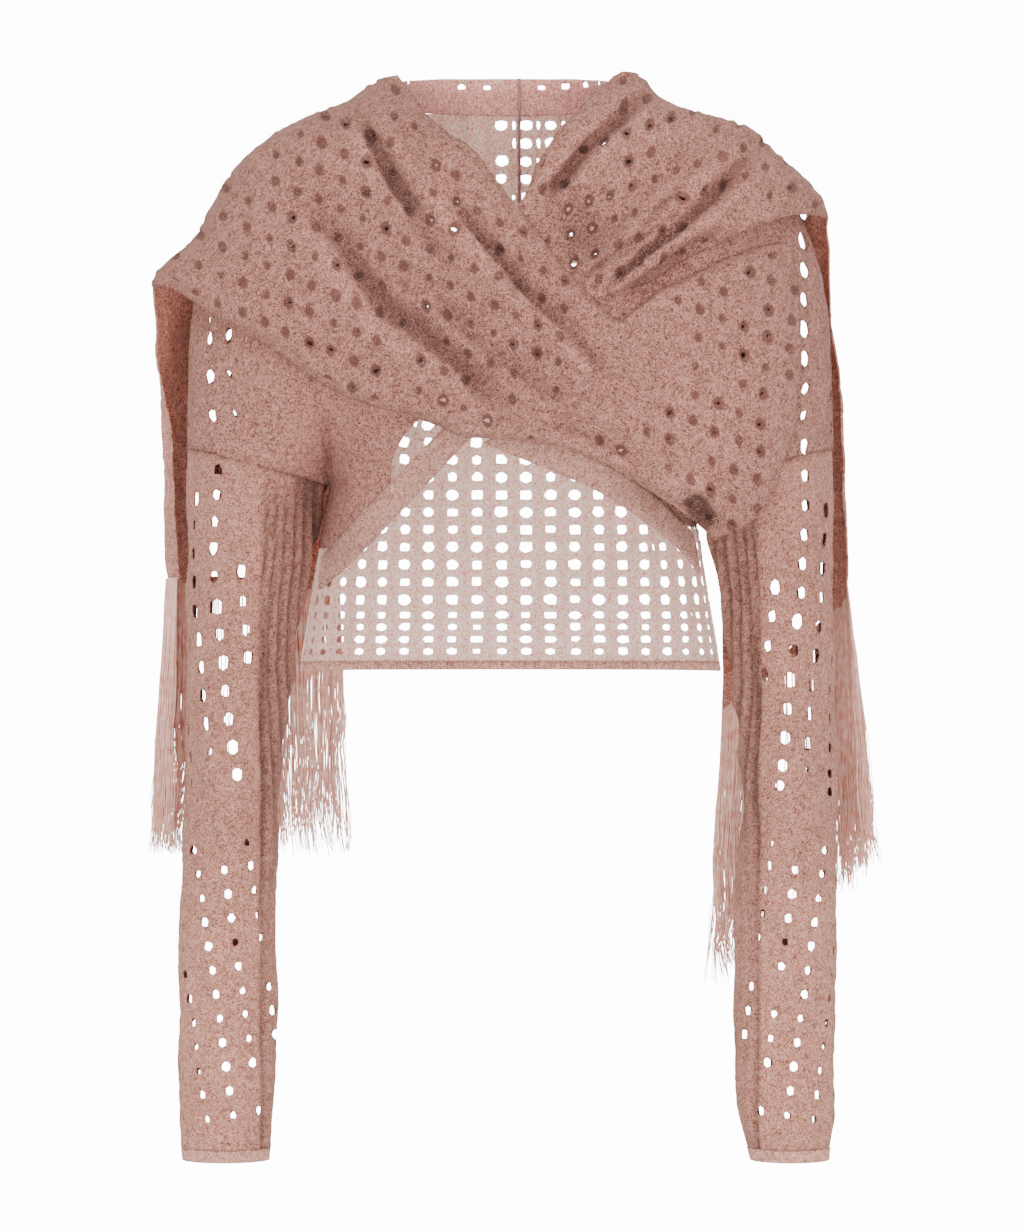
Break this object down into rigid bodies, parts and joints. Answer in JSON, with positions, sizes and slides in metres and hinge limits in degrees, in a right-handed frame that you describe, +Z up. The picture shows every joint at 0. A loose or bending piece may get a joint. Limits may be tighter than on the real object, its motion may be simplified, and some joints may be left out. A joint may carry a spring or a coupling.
{
  "type": "open-knit wrap cardigan",
  "caption": "Cropped open-knit wrap cardigan, filled out as worn; long fringed fronts cross on the chest and hang over the shoulders behind long straight sleeves",
  "frame": {"origin": "in the hollow of the garment, midway between the shoulders and 50 mm below the top of the wraps, where the wearer holds it up", "axes": "+Z up, the front faces -Y, +X is the wearer's left, the side seams lie in the plane Y = 0"},
  "size_m": [0.5138, 0.2364, 0.7622],
  "materials": {
    "front_knit": "brushed open knit of fine fuzzy yarn, dusty rose",
    "back_knit": "fine open lace knit, rosier and thinner than the fronts",
    "sleeve_knit": "brushed open knit of fine fuzzy yarn, dusty rose",
    "rib": "narrow fine rib of the same yarn",
    "fringe_yarn": "loose soft yarn ends, pale rose"
  },
  "bodies": {
    "root": {"back_panel": "back_knit", "hem_rib": "rib", "neck_band_right": "rib", "neck_band_left": "rib", "front_right": "front_knit", "front_left": "front_knit", "front_rib_right": "rib", "front_rib_left": "rib", "wrap_under": "front_knit", "wrap_over": "front_knit", "tail_right": "front_knit", "tail_left": "front_knit", "fringe_right": "fringe_yarn", "fringe_left": "fringe_yarn", "sleeve_right": "sleeve_knit", "sleeve_left": "sleeve_knit", "cuff_right": "rib", "cuff_left": "rib"}
  },
  "joints": []
}
